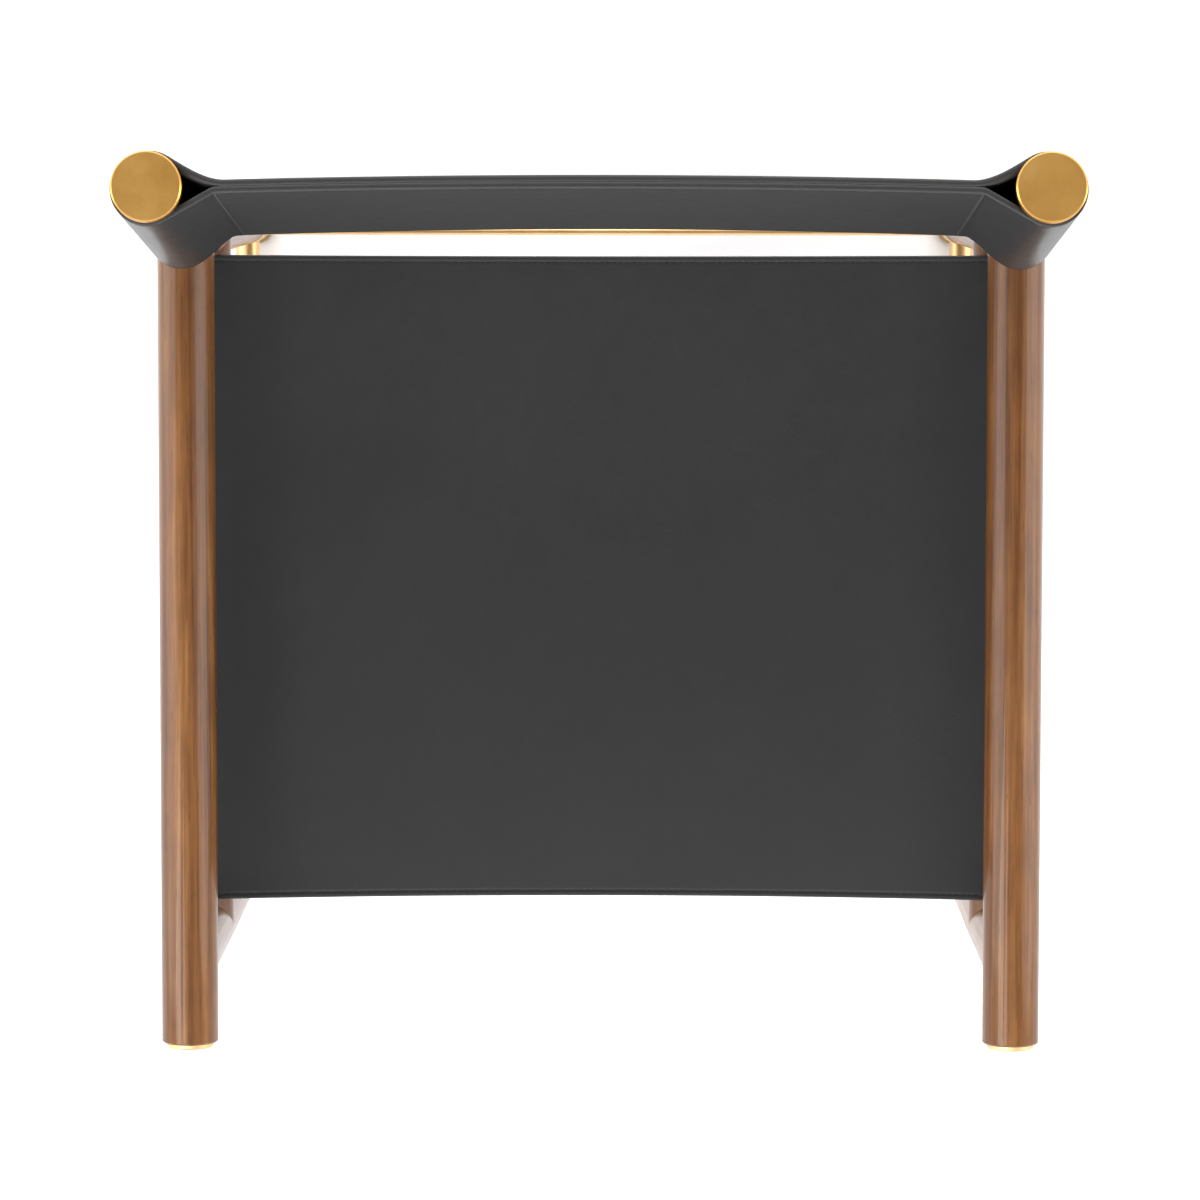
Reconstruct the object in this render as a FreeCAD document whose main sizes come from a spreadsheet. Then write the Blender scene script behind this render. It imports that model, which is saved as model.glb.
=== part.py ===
import FreeCAD, Part
import os
import Sketcher

# A sling armchair: round wooden side frames, a leather seat slung between the seat rails
# and a doubled leather back band looped round two reclined posts.
# Millimetres, +Z up, +Y towards the chair's back, origin on the floor at the middle of the box.

Vector = FreeCAD.Vector
SIDES = {"left": -1, "right": 1}

doc = FreeCAD.newDocument("sling_armchair")
dims = doc.addObject("Spreadsheet::Sheet", "dims")

# ---------------------------------------------------------------- driving dimensions
DIMENSIONS = [
    # side frames
    ("side_spacing", 583.0, "between the centre planes of the two side frames"),
    ("back_leg_depth", 259.4, "Y of the back legs' axis"),
    ("leg_spacing", 513.5, "front leg to back leg"),
    ("round_radius", 20.0, "arms, seat rails, posts and the legs' upper part"),
    ("arm_height", 583.0, "arm axis at the back leg"),
    ("rail_height", 444.0, "seat rail axis at the back leg"),
    ("rake", 1.0, "arms and seat rails rise this many degrees to the front"),
    ("arm_overhang", 59.6, "arm end past the front leg's axis"),
    ("edge_break", 1.2, "chamfer on the arms' front ends"),
    # posts
    ("joint_height", 604.5, "where the upright leg meets the reclined post"),
    ("recline", 8.0, "degrees that the posts lean back"),
    ("post_length", 247.5, "reclined post, up to its cap"),
    ("dowel_radius", 5.0, ""),
    ("dowel_length", 48.0, ""),
    ("dowel_depth", 9.0, "how far the dowel goes down into the leg"),
    # legs and feet
    ("taper_top", 400.0, "the legs taper below this height"),
    ("leg_low_radius", 18.0, "leg just above its brass foot"),
    ("foot_height", 73.0, "top of the brass foot"),
    ("foot_radius", 18.4, ""),
    ("spigot_radius", 16.5, "leg inside its brass foot"),
    ("flange_radius", 20.3, ""),
    ("flange_thickness", 3.0, ""),
    ("glide_radius", 17.0, ""),
    ("glide_thickness", 2.0, ""),
    # joints
    ("tenon_radius", 9.0, "tenons of the arms and seat rails"),
    ("tenon_inner", 6.0, "tenon end, from the leg's axis"),
    ("top_tenon_radius", 8.0, "front leg's tenon in the arm"),
    ("top_tenon_rise", 6.0, "that tenon's end, above the arm's axis"),
    # brass
    ("cap_radius", 23.0, "post caps"),
    ("cap_thickness", 8.0, ""),
    ("arm_cap_radius", 16.5, ""),
    ("arm_cap_thickness", 3.6, ""),
    ("cap_edge", 1.0, "rounded rim of the brass discs"),
    ("cap_spigot_radius", 6.0, ""),
    ("cap_spigot_length", 18.0, ""),
    ("bar_radius", 6.0, "brass bar between the back legs"),
    ("bar_offset", 2.5, "bar axis behind the leg's axis"),
    ("bar_spigot_radius", 4.0, ""),
    ("bar_spigot_depth", 10.0, ""),
    ("stretcher_radius", 9.5, "low side stretchers"),
    ("stretcher_wall", 1.5, ""),
    ("stretcher_height", 38.0, ""),
    # cross rail under the sling
    ("cross_radius", 12.0, ""),
    ("cross_dip", 36.0, "how far its middle hangs below its ends"),
    ("cross_place", 455.0, "along the seat rail from the back leg's axis"),
    ("cross_tenon_radius", 8.0, ""),
    ("cross_tenon_depth", 9.0, "tenon end, inside the rail's surface"),
    # leather
    ("leather", 4.0, "one thickness of leather"),
    ("leather_gap", 0.2, "between leather and wood"),
    ("sling_start", 17.9, "rear hem, along the seat rail from the back leg's axis"),
    ("sling_depth", 472.4, "rear hem to front hem"),
    ("sling_sag", 9.0, "how far the sling's middle hangs below its sides"),
    ("leg_clearance", 21.5, "radius cut from the sling round each leg"),
    ("band_start", 0.8, "lower edge of the back band, along the post from the joint"),
    ("band_height", 243.5, ""),
    ("band_thickness", 8.4, "both layers between the posts"),
    ("band_bow", 6.5, "how far the band's middle stands back"),
    ("band_merge", 48.0, "from the post's axis to where the two layers meet"),
    # hidden hardware under each seat rail
    ("strip_width", 12.0, ""),
    ("strip_thickness", 2.0, ""),
    ("strip_length", 420.0, ""),
    ("strip_start", 44.0, ""),
    ("screw_pitch", 76.0, ""),
    ("screw_radius", 1.75, ""),
    ("screw_length", 16.0, ""),
    ("screw_head_radius", 3.6, ""),
    ("screw_head_height", 2.0, ""),
]
SCREW_COUNT = 6

dims.set("A1", "name")
dims.set("B1", "value")
dims.set("C1", "note")
for number, (alias, value, note) in enumerate(DIMENSIONS, start=2):
    dims.set("A%d" % number, alias)
    dims.set("B%d" % number, str(value))
    dims.setAlias("B%d" % number, alias)
    dims.set("C%d" % number, note)
doc.recompute()


# ---------------------------------------------------------------- helpers
def bind(thing, **formulas):
    """Bind properties of a document object to formulas of the sheet."""
    for name, formula in formulas.items():
        thing.setExpression(name, formula)
    return thing


def put(thing, x="0", y="0", z="0", axis=(1, 0, 0), angle="0"):
    """Bind an object's placement: a point, and a turn in degrees about an axis."""
    formula = "placement(vector(%s; %s; %s); rotation(vector(%d; %d; %d); %s))"
    thing.setExpression("Placement", formula % (x, y, z, *axis, angle))
    return thing


def cylinder(name, radius, height):
    return bind(doc.addObject("Part::Cylinder", name), Radius=radius, Height=height)


def box(name, length, width, height):
    return bind(doc.addObject("Part::Box", name), Length=length, Width=width, Height=height)


def cut(name, base, tool):
    result = doc.addObject("Part::Cut", name)
    result.Base = base
    result.Tool = tool
    return result


def common(name, base, tool):
    result = doc.addObject("Part::Common", name)
    result.Base = base
    result.Tool = tool
    return result


def fuse(name, pieces):
    result = doc.addObject("Part::MultiFuse", name)
    result.Shapes = pieces
    return result


def turned(name, outline):
    """A body turned about its own Z axis from an outline of (radius, height) formulas."""
    body = doc.addObject("PartDesign::Body", name)
    doc.recompute()
    sketch = body.newObject("Sketcher::SketchObject", name + "_outline")
    planes = {feature.Role: feature for feature in body.Origin.OriginFeatures}
    sketch.AttachmentSupport = [(planes["XZ_Plane"], "")]
    sketch.MapMode = "FlatFace"
    corners = [(dims_value(radius), dims_value(height)) for radius, height in outline]
    count = len(corners)
    for index, (x, z) in enumerate(corners):
        next_x, next_z = corners[(index + 1) % count]
        sketch.addGeometry(Part.LineSegment(Vector(x, z, 0), Vector(next_x, next_z, 0)))
    for index in range(count):
        sketch.addConstraint(Sketcher.Constraint("Coincident", index, 2, (index + 1) % count, 1))
    for index, (radius, height) in enumerate(outline):
        x, z = corners[index]
        pin_corner(sketch, index, "DistanceX", x, radius, -2)
        pin_corner(sketch, index, "DistanceY", z, height, -1)
    turn = body.newObject("PartDesign::Revolution", name + "_turning")
    turn.Profile = sketch
    turn.ReferenceAxis = (sketch, ["V_Axis"])
    turn.Angle = 360
    return body


def pin_corner(sketch, index, kind, value, formula, axis):
    """Hold one coordinate of a sketch corner: on an axis where it is nothing, else by a formula."""
    if formula == "0":
        sketch.addConstraint(Sketcher.Constraint("PointOnObject", index, 1, axis))
        return
    number = sketch.addConstraint(Sketcher.Constraint(kind, -1, 1, index, 1, value))
    sketch.setExpression("Constraints[%d]" % number, formula)


calculator = doc.addObject("App::FeaturePython", "calculator")
calculator.addProperty("App::PropertyFloat", "result")


def dims_value(formula):
    """The number that a formula of the sheet stands for now."""
    calculator.setExpression("result", formula)
    calculator.recompute()
    return calculator.result


# ---------------------------------------------------------------- shared places
def side_x(sign):
    return "%d * dims.side_spacing / 2" % sign


BACK_Y = "dims.back_leg_depth"
FRONT_Y = "dims.back_leg_depth - dims.leg_spacing"
ARM_AT_FRONT = "dims.arm_height + dims.leg_spacing * tan(dims.rake * 1 deg)"
TO_FRONT = "90 - dims.rake"
LEG_ALONG = "dims.leg_spacing / cos(dims.rake * 1 deg)"


def along_rail(thing, sign, height, start, across="0", below="0"):
    """Place a thing whose Z runs forwards along an arm or seat rail, start past the back leg."""
    y = "%s - (%s) * cos(dims.rake * 1 deg) - (%s) * sin(dims.rake * 1 deg)"
    z = "%s + (%s) * sin(dims.rake * 1 deg) - (%s) * cos(dims.rake * 1 deg)"
    return put(thing, "%s - (%d) * (%s)" % (side_x(sign), sign, across), y % (BACK_Y, start, below),
               z % (height, start, below), angle=TO_FRONT)


def along_post(thing, x, distance):
    """Place a thing whose Z runs up the reclined post, a distance above the joint."""
    y = "%s + (%s) * sin(dims.recline * 1 deg)" % (BACK_Y, distance)
    z = "dims.joint_height + (%s) * cos(dims.recline * 1 deg)" % distance
    return put(thing, x, y, z, angle="-dims.recline")


parts = []


def finished(thing, label):
    """Give a finished sub-part its label, which is also its file's name."""
    thing.Label = label
    parts.append(thing)
    return thing


# ---------------------------------------------------------------- turned outlines
def leg_outline(top):
    """Spigot in the brass foot, a taper, then the full round up to the top."""
    floor = "dims.glide_thickness + dims.flange_thickness"
    return [("0", floor), ("dims.spigot_radius", floor), ("dims.spigot_radius", "dims.foot_height"),
            ("dims.leg_low_radius", "dims.foot_height"), ("dims.round_radius", "dims.taper_top"),
            ("dims.round_radius", top), ("0", top)]


def disc_outline(radius, thickness):
    """A disc with a broken rim on a spigot that runs down below Z = 0."""
    return [("0", "-dims.cap_spigot_length"), ("dims.cap_spigot_radius", "-dims.cap_spigot_length"),
            ("dims.cap_spigot_radius", "0"), (radius, "0"), (radius, thickness + " - dims.cap_edge"),
            (radius + " - dims.cap_edge", thickness), ("0", thickness)]


FOOT_OUTLINE = [
    ("0", "dims.glide_thickness"), ("dims.flange_radius", "dims.glide_thickness"),
    ("dims.flange_radius", "dims.glide_thickness + dims.flange_thickness"),
    ("dims.foot_radius", "dims.glide_thickness + dims.flange_thickness + 1"),
    ("dims.foot_radius", "dims.foot_height"), ("dims.spigot_radius", "dims.foot_height"),
    ("dims.spigot_radius", "dims.glide_thickness + dims.flange_thickness"),
    ("0", "dims.glide_thickness + dims.flange_thickness")]


# ---------------------------------------------------------------- the two side frames
def side_frame(side, sign):
    """The wooden pieces of one side frame. Returns the blanks that other pieces are fitted to."""
    x = side_x(sign)

    # blanks
    arm_blank = cylinder("arm_blank_" + side, "dims.round_radius",
                         "(dims.leg_spacing + dims.arm_overhang) / cos(dims.rake * 1 deg)")
    arm_blank = along_rail(arm_blank, sign, "dims.arm_height", "0")
    arm_end = doc.addObject("Part::Chamfer", "arm_end_" + side)
    doc.recompute()
    arm_end.Base = arm_blank
    edge_break = dims_value("dims.edge_break")
    arm_end.Edges = [(front_rim(arm_blank), edge_break, edge_break)]
    rail_blank = cylinder("rail_blank_" + side, "dims.round_radius", LEG_ALONG)
    along_rail(rail_blank, sign, "dims.rail_height", "0")
    back_turned = put(turned("back_leg_turning_" + side, leg_outline("dims.joint_height")), x, BACK_Y)
    front_turned = put(turned("front_leg_turning_" + side, leg_outline(ARM_AT_FRONT)), x, FRONT_Y)

    # tenons, each used twice: joined to one piece and cut from the other
    tenon_length = "2 * dims.round_radius"
    arm_tenon = cylinder("arm_tenon_" + side, "dims.tenon_radius", tenon_length)
    along_rail(arm_tenon, sign, "dims.arm_height", "dims.tenon_inner")
    rail_tenon_back = cylinder("rail_tenon_back_" + side, "dims.tenon_radius", tenon_length)
    along_rail(rail_tenon_back, sign, "dims.rail_height", "dims.tenon_inner")
    rail_tenon_front = cylinder("rail_tenon_front_" + side, "dims.tenon_radius", tenon_length)
    along_rail(rail_tenon_front, sign, "dims.rail_height",
               LEG_ALONG + " - dims.tenon_inner - 2 * dims.round_radius")
    top_tenon = cylinder("top_tenon_" + side, "dims.top_tenon_radius", "2 * dims.round_radius")
    put(top_tenon, x, FRONT_Y, ARM_AT_FRONT + " + dims.top_tenon_rise - 2 * dims.round_radius")
    dowel = cylinder("dowel_" + side, "dims.dowel_radius", "dims.dowel_length")
    put(dowel, x, BACK_Y + " - dims.dowel_depth * sin(dims.recline / 2 * 1 deg)",
        "dims.joint_height - dims.dowel_depth * cos(dims.recline / 2 * 1 deg)",
        angle="-dims.recline / 2")
    finished(dowel, "post_dowel_" + side)

    # brass discs
    post_cap = turned("post_cap_" + side, disc_outline("dims.cap_radius", "dims.cap_thickness"))
    finished(along_post(post_cap, x, "dims.post_length"), "post_cap_" + side)
    arm_cap = turned("arm_cap_" + side, disc_outline("dims.arm_cap_radius", "dims.arm_cap_thickness"))
    along_rail(arm_cap, sign, "dims.arm_height",
               "(dims.leg_spacing + dims.arm_overhang) / cos(dims.rake * 1 deg)")
    finished(arm_cap, "arm_cap_" + side)

    # reclined post: cut level where it stands on the leg
    post_blank = cylinder("post_blank_" + side, "dims.round_radius", "dims.post_length + 20")
    along_post(post_blank, x, "-20")
    below = box("below_joint_" + side, "100", "100", "60")
    put(below, x + " - 50", BACK_Y + " - 50", "dims.joint_height - 60")
    post = cut("post_foot_" + side, post_blank, below)
    post = cut("post_dowelled_" + side, post, dowel)
    post = finished(cut("post_" + side, post, post_cap), "back_post_" + side)

    # seat rail, coped to both legs
    rail = cut("rail_coped_back_" + side, rail_blank, back_turned)
    rail = cut("rail_coped_" + side, rail, front_turned)
    rail = fuse("rail_tenoned_" + side, [rail, rail_tenon_back, rail_tenon_front])
    cross_tenon = cylinder("cross_tenon_" + side, "dims.cross_tenon_radius", "dims.cross_tenon_depth + 8")
    cross_tenon_place(cross_tenon, sign)
    screws = sling_screws(side, sign)
    rail = cut("rail_drilled_" + side, rail, cross_tenon)
    rail = finished(cut("rail_" + side, rail, screws), "seat_rail_" + side)

    # arm, coped to the back leg, with the front leg's tenon let into it
    arm = cut("arm_coped_" + side, arm_end, back_turned)
    arm = fuse("arm_tenoned_" + side, [arm, arm_tenon])
    arm = cut("arm_mortised_" + side, arm, top_tenon)
    arm = finished(cut("arm_" + side, arm, arm_cap), "arm_" + side)

    # front leg: saddle under the arm, tenon up into it
    front = cut("front_leg_saddle_" + side, front_turned, arm_blank)
    front = fuse("front_leg_tenoned_" + side, [front, top_tenon])
    front = finished(cut("front_leg_" + side, front, rail_tenon_front), "front_leg_" + side)

    return {"rail_blank": rail_blank, "back_turned": back_turned, "cross_tenon": cross_tenon,
            "screws": screws, "arm_tenon": arm_tenon, "rail_tenon": rail_tenon_back, "dowel": dowel}


def front_rim(thing):
    """Number of a cylinder's round edge that lies furthest to the front."""
    rounds = [(edge.CenterOfMass.y, number) for number, edge in enumerate(thing.Shape.Edges, start=1)
              if isinstance(edge.Curve, Part.Circle)]
    return min(rounds)[1]


def cross_tenon_place(tenon, sign):
    """The cross rail's tenon, pointing outwards into the seat rail's inner face."""
    inner = "dims.side_spacing / 2 - dims.round_radius - 8"
    y = BACK_Y + " - dims.cross_place * cos(dims.rake * 1 deg)"
    z = "dims.rail_height + dims.cross_place * sin(dims.rake * 1 deg)"
    put(tenon, "%d * (%s)" % (sign, inner), y, z, axis=(0, 1, 0), angle="%d * 90" % sign)


def sling_screws(side, sign):
    """A row of pan head screws, up through the clamp strip and leather into the seat rail."""
    screws = []
    depth = "dims.round_radius + dims.leather_gap + dims.leather + dims.strip_thickness"
    for index in range(SCREW_COUNT):
        name = "screw_%s_%d" % (side, index + 1)
        shank = cylinder(name + "_shank", "dims.screw_radius", "dims.screw_length")
        head = cylinder(name + "_head", "dims.screw_head_radius", "dims.screw_head_height")
        place = "dims.strip_start + 20 + %d * dims.screw_pitch" % index
        y = "%s - (%s) * cos(dims.rake * 1 deg)" % (BACK_Y, place)
        z = "dims.rail_height + (%s) * sin(dims.rake * 1 deg) - (%s)" % (place, depth)
        put(shank, side_x(sign), y, z)
        put(head, side_x(sign), y, z + " - dims.screw_head_height")
        screws.append(fuse(name, [shank, head]))
    row = doc.addObject("Part::Compound", "screws_" + side)
    row.Links = screws
    return finished(row, "sling_screws_" + side)


frames = {side: side_frame(side, sign) for side, sign in SIDES.items()}


# ---------------------------------------------------------------- brass feet, glides, stretchers
def foot(name, x, y):
    """A brass foot and the glide under it. Returns the foot's envelope, for coping stretchers."""
    finished(put(turned("foot_" + name, FOOT_OUTLINE), x, y), "foot_" + name)
    glide = cylinder("glide_" + name, "dims.glide_radius", "dims.glide_thickness")
    finished(put(glide, x, y), "glide_" + name)
    envelope = cylinder("foot_envelope_" + name, "dims.foot_radius", "dims.foot_height")
    return put(envelope, x, y)


for side, sign in SIDES.items():
    back_envelope = foot("back_" + side, side_x(sign), BACK_Y)
    front_envelope = foot("front_" + side, side_x(sign), FRONT_Y)
    tube = cylinder("stretcher_blank_" + side, "dims.stretcher_radius", "dims.leg_spacing")
    bore = cylinder("stretcher_bore_" + side, "dims.stretcher_radius - dims.stretcher_wall",
                    "dims.leg_spacing")
    for round_bar in (tube, bore):
        put(round_bar, side_x(sign), BACK_Y, "dims.stretcher_height", angle="90")
    stretcher = cut("stretcher_tube_" + side, tube, bore)
    stretcher = cut("stretcher_coped_back_" + side, stretcher, back_envelope)
    stretcher = cut("stretcher_" + side, stretcher, front_envelope)
    finished(stretcher, "side_stretcher_" + side)


# ---------------------------------------------------------------- brass bar between the back legs
BAR_Y = BACK_Y + " + dims.bar_offset"
bar = cylinder("bar_blank", "dims.bar_radius", "dims.side_spacing")
put(bar, side_x(-1), BAR_Y, "dims.rail_height", axis=(0, 1, 0), angle="90")
for side in SIDES:
    bar = cut("bar_coped_" + side, bar, frames[side]["back_turned"])
    bar = cut("bar_cleared_" + side, bar, frames[side]["rail_blank"])
spigot = cylinder("bar_spigot", "dims.bar_spigot_radius", "dims.side_spacing - 2 * dims.bar_spigot_depth")
put(spigot, side_x(-1) + " + dims.bar_spigot_depth", BAR_Y, "dims.rail_height", axis=(0, 1, 0), angle="90")
finished(fuse("back_bar", [bar, spigot]), "back_bar")

for side in SIDES:
    leg = frames[side]["back_turned"]
    for joint, tool in (("arm", frames[side]["arm_tenon"]), ("rail", frames[side]["rail_tenon"]),
                        ("bar", spigot), ("dowel", frames[side]["dowel"])):
        leg = cut("back_leg_%s_mortise_%s" % (joint, side), leg, tool)
    finished(leg, "back_leg_" + side)


# ---------------------------------------------------------------- cross rail under the sling
HALF_SPAN = "(dims.side_spacing / 2 - dims.round_radius)"
CURVE = "(%s ^ 2 + dims.cross_dip ^ 2) / (2 * dims.cross_dip)" % HALF_SPAN
HALF_TURN = "asin((%s + 12) / (%s))" % (HALF_SPAN, CURVE)
ring = doc.addObject("Part::Torus", "cross_rail_blank")
bind(ring, Radius1=CURVE, Radius2="dims.cross_radius", Angle3="2 * " + HALF_TURN)
middle = ("placement(vector(0; %s; %s); rotation(vector(1; 0; 0); 90))" % (
    BACK_Y + " - dims.cross_place * cos(dims.rake * 1 deg)",
    "dims.rail_height + dims.cross_place * sin(dims.rake * 1 deg) + %s - dims.cross_dip" % CURVE))
downwards = "placement(vector(0; 0; 0); rotation(vector(0; 0; 1); -90 - %s / 1 deg))" % HALF_TURN
ring.setExpression("Placement", middle + " * " + downwards)
doc.recompute()
cross = ring
for side in SIDES:
    cross = cut("cross_rail_coped_" + side, cross, frames[side]["rail_blank"])
finished(fuse("front_cross_rail", [cross] + [frames[side]["cross_tenon"] for side in SIDES]),
         "front_cross_rail")


# ---------------------------------------------------------------- leather
WRAP = "(dims.round_radius + dims.leather_gap)"


def bent_sheet(name, sag, thickness, length):
    """A sheet that spans the side frames on a large radius, before it is trimmed to width.

    Returns its two curves, the sheet, the box that trims it and the radius as a formula.
    """
    radius = "((dims.side_spacing / 2) ^ 2 + (%s) ^ 2) / (2 * (%s))" % (sag, sag)
    outer = cylinder(name + "_outer_curve", "%s + (%s)" % (radius, thickness), length)
    inner = cylinder(name + "_inner_curve", radius, length)
    sheet = cut(name + "_sheet", outer, inner)
    window = box(name + "_window", "dims.side_spacing", "4 * (%s) + 4 * (%s)" % (sag, thickness), length)
    return outer, inner, sheet, window, radius


def seat_sling():
    """The seat: a sheet that hangs slightly between the rails, and a half wrap round each rail."""
    outer, inner, sheet, window, radius = bent_sheet(
        "sling", "dims.sling_sag", "dims.leather", "dims.sling_depth")
    above = "%s - dims.sling_sag + (%s)" % (WRAP, radius)
    start = "dims.sling_start"
    for curve in (outer, inner):
        along_rail(curve, 0, "dims.rail_height", start, below="-(%s + dims.leather)" % above)
    along_rail(window, 0, "dims.rail_height", start, below="-(%s - 2 * dims.sling_sag)" % WRAP)
    shift(window, side_x(-1))
    pieces = [common("sling_seat", sheet, window)]
    for side, sign in SIDES.items():
        sleeve = cylinder("sleeve_" + side, "%s + dims.leather" % WRAP, "dims.sling_depth")
        bore = cylinder("sleeve_bore_" + side, WRAP, "dims.sling_depth")
        inner_half = box("sleeve_opening_" + side, "40", "60", "dims.sling_depth")
        for piece in (sleeve, bore):
            along_rail(piece, sign, "dims.rail_height", start)
        inner_edge = "8" if sign < 0 else "48"
        along_rail(inner_half, sign, "dims.rail_height", start, across=inner_edge, below="41")
        sleeve = cut("sleeve_tube_" + side, sleeve, bore)
        pieces.append(cut("sleeve_half_" + side, sleeve, inner_half))
    sling = fuse("sling_joined", pieces)
    for side, sign in SIDES.items():
        clear = cylinder("sling_leg_clearance_" + side, "dims.leg_clearance", "dims.joint_height")
        put(clear, side_x(sign), BACK_Y)
        sling = cut("sling_notched_" + side, sling, clear)
        sling = cut("sling_pierced_" + side, sling, frames[side]["screws"])
    return finished(sling, "seat_sling")


def shift(thing, x):
    """Move a placed thing sideways."""
    formula = dict(thing.ExpressionEngine)["Placement"]
    thing.setExpression("Placement", "placement(vector(%s; 0; 0); rotation(vector(1; 0; 0); 0)) * %s"
                        % (x, formula))


def on_band(thing, x, back, turn="0"):
    """Place a thing whose Z runs up the post from the band's lower edge, set back by a distance."""
    y = ("%s + dims.band_start * sin(dims.recline * 1 deg) + (%s) * cos(dims.recline * 1 deg)"
         % (BACK_Y, back))
    z = ("dims.joint_height + dims.band_start * cos(dims.recline * 1 deg) - (%s) * sin(dims.recline * 1 deg)"
         % back)
    formula = ("placement(vector(%s; %s; %s); rotation(vector(1; 0; 0); -dims.recline))"
               " * placement(vector(0; 0; 0); rotation(vector(0; 0; 1); %s))")
    thing.setExpression("Placement", formula % (x, y, z, turn))
    return thing


def back_band():
    """The back: two layers of leather as one plate, opening into a loop round each post."""
    outer, inner, sheet, window, radius = bent_sheet(
        "band", "dims.band_bow", "dims.band_thickness", "dims.band_height")
    for curve in (outer, inner):
        on_band(curve, "0", "-(%s + dims.band_thickness / 2 - dims.band_bow)" % radius)
    on_band(window, side_x(-1), "-(dims.band_thickness + dims.band_bow)")
    pieces = [common("band_strap", sheet, window)]
    loop_radius = "(%s + dims.leather)" % WRAP
    half_loop = "0.84 * %s" % loop_radius
    for side, sign in SIDES.items():
        loop = cylinder("band_loop_" + side, loop_radius, "dims.band_height")
        on_band(loop, side_x(sign), "0")
        gusset = doc.addObject("Part::Wedge", "band_gusset_" + side)
        bind(gusset, Xmin="-" + half_loop, Xmax=half_loop,
             X2min="-dims.band_thickness / 2", X2max="dims.band_thickness / 2",
             Ymin="0.54 * " + loop_radius, Ymax="dims.band_merge",
             Zmin="0", Zmax="dims.band_height", Z2min="0", Z2max="dims.band_height")
        on_band(gusset, side_x(sign), "0", turn="%d * 90" % sign)
        pieces += [loop, gusset]
    band = fuse("band_joined", pieces)
    for side, sign in SIDES.items():
        clear = cylinder("band_post_clearance_" + side, WRAP, "dims.band_height + 20")
        along_post(clear, side_x(sign), "dims.band_start - 10")
        band = cut("band_bored_" + side, band, clear)
    return finished(band, "back_band")


seat_sling()
back_band()


# ---------------------------------------------------------------- clamp strips under the rails
for side, sign in SIDES.items():
    strip = box("strip_blank_" + side, "dims.strip_width", "dims.strip_thickness", "dims.strip_length")
    below = "dims.round_radius + dims.leather_gap + dims.leather + dims.strip_thickness"
    y = "%s - dims.strip_start * cos(dims.rake * 1 deg) - (%s) * sin(dims.rake * 1 deg)" % (BACK_Y, below)
    z = "dims.rail_height + dims.strip_start * sin(dims.rake * 1 deg) - (%s) * cos(dims.rake * 1 deg)" % below
    put(strip, side_x(sign) + " - dims.strip_width / 2", y, z, angle=TO_FRONT)
    finished(cut("strip_" + side, strip, frames[side]["screws"]), "clamp_strip_" + side)


# ---------------------------------------------------------------- checks and export
doc.recompute()
faults = [thing.Name for thing in doc.Objects if "Invalid" in thing.State or "Error" in thing.State]
if faults:
    raise SystemExit("objects that failed: " + ", ".join(faults))
for thing in parts:
    if thing.Shape.isNull() or not thing.Shape.isValid():
        raise SystemExit("bad shape: " + thing.Label)

os.makedirs("parts", exist_ok=True)
whole = FreeCAD.BoundBox()
for thing in parts:
    thing.Shape.exportStep("parts/%s.step" % thing.Label)
    whole.add(thing.Shape.BoundBox)
print("pieces", len(parts), "box", whole)
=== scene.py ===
import math

import bmesh
import bpy
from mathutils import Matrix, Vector


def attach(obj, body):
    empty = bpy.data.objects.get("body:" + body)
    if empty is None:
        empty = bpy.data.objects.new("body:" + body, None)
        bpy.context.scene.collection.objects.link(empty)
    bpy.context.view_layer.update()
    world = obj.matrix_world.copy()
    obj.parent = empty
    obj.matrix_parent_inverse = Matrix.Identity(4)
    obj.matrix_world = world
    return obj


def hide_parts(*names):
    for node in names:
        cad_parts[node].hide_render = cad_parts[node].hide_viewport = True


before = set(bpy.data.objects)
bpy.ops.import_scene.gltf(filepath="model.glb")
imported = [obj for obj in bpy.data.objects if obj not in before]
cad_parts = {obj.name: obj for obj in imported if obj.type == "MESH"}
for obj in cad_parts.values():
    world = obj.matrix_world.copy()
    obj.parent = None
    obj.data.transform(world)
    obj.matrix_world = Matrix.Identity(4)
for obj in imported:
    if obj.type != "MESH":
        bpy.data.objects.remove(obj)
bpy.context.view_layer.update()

# A sling armchair seen from straight above: walnut rounds, brass discs and feet, black saddle leather.
MM = 0.001

# ---------------------------------------------------------------- sizes, in millimetres
SIDE_X = 291.5            # side frames' centre planes
LEG_Y = 259.4             # back legs' axis
RAIL_Z = 444.0            # seat rail's axis at the back leg
RAKE = math.radians(1.0)
JOINT_Z = 604.5           # foot of the reclined posts
RECLINE = math.radians(8.0)
WOOD_R = 20.2             # leather's inner radius round the wood

SEAT_THICK = 4.0
SEAT_START = 17.9         # rear hem, along the rail
SEAT_END = 490.3
SEAT_SAG = 9.0
SEAT_TUCK = 21.0          # degrees that the leather goes on under the rail

BAND_THICK = 4.4
BAND_START = 0.8
BAND_END = 244.3
BOW_TOP = 4.6             # how far the band's middle stands back at its top edge
BOW_FOOT = (1.8, 6.1)     # the same at its lower edge: beside the loops, and further at the middle
BAND_SLOPE = math.radians(32.8)   # both layers leave the loop at this angle
CREASE_U = 42.3           # from the post's axis to where the front layer bends flat
BACK_FLAT_U = 50.0        # and to where the back layer is flat
FOOT_PULL = 7.0           # the bends stand this much nearer the post at the band's foot
LAYER_GAP = 0.06          # half the gap between the band's two layers


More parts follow.
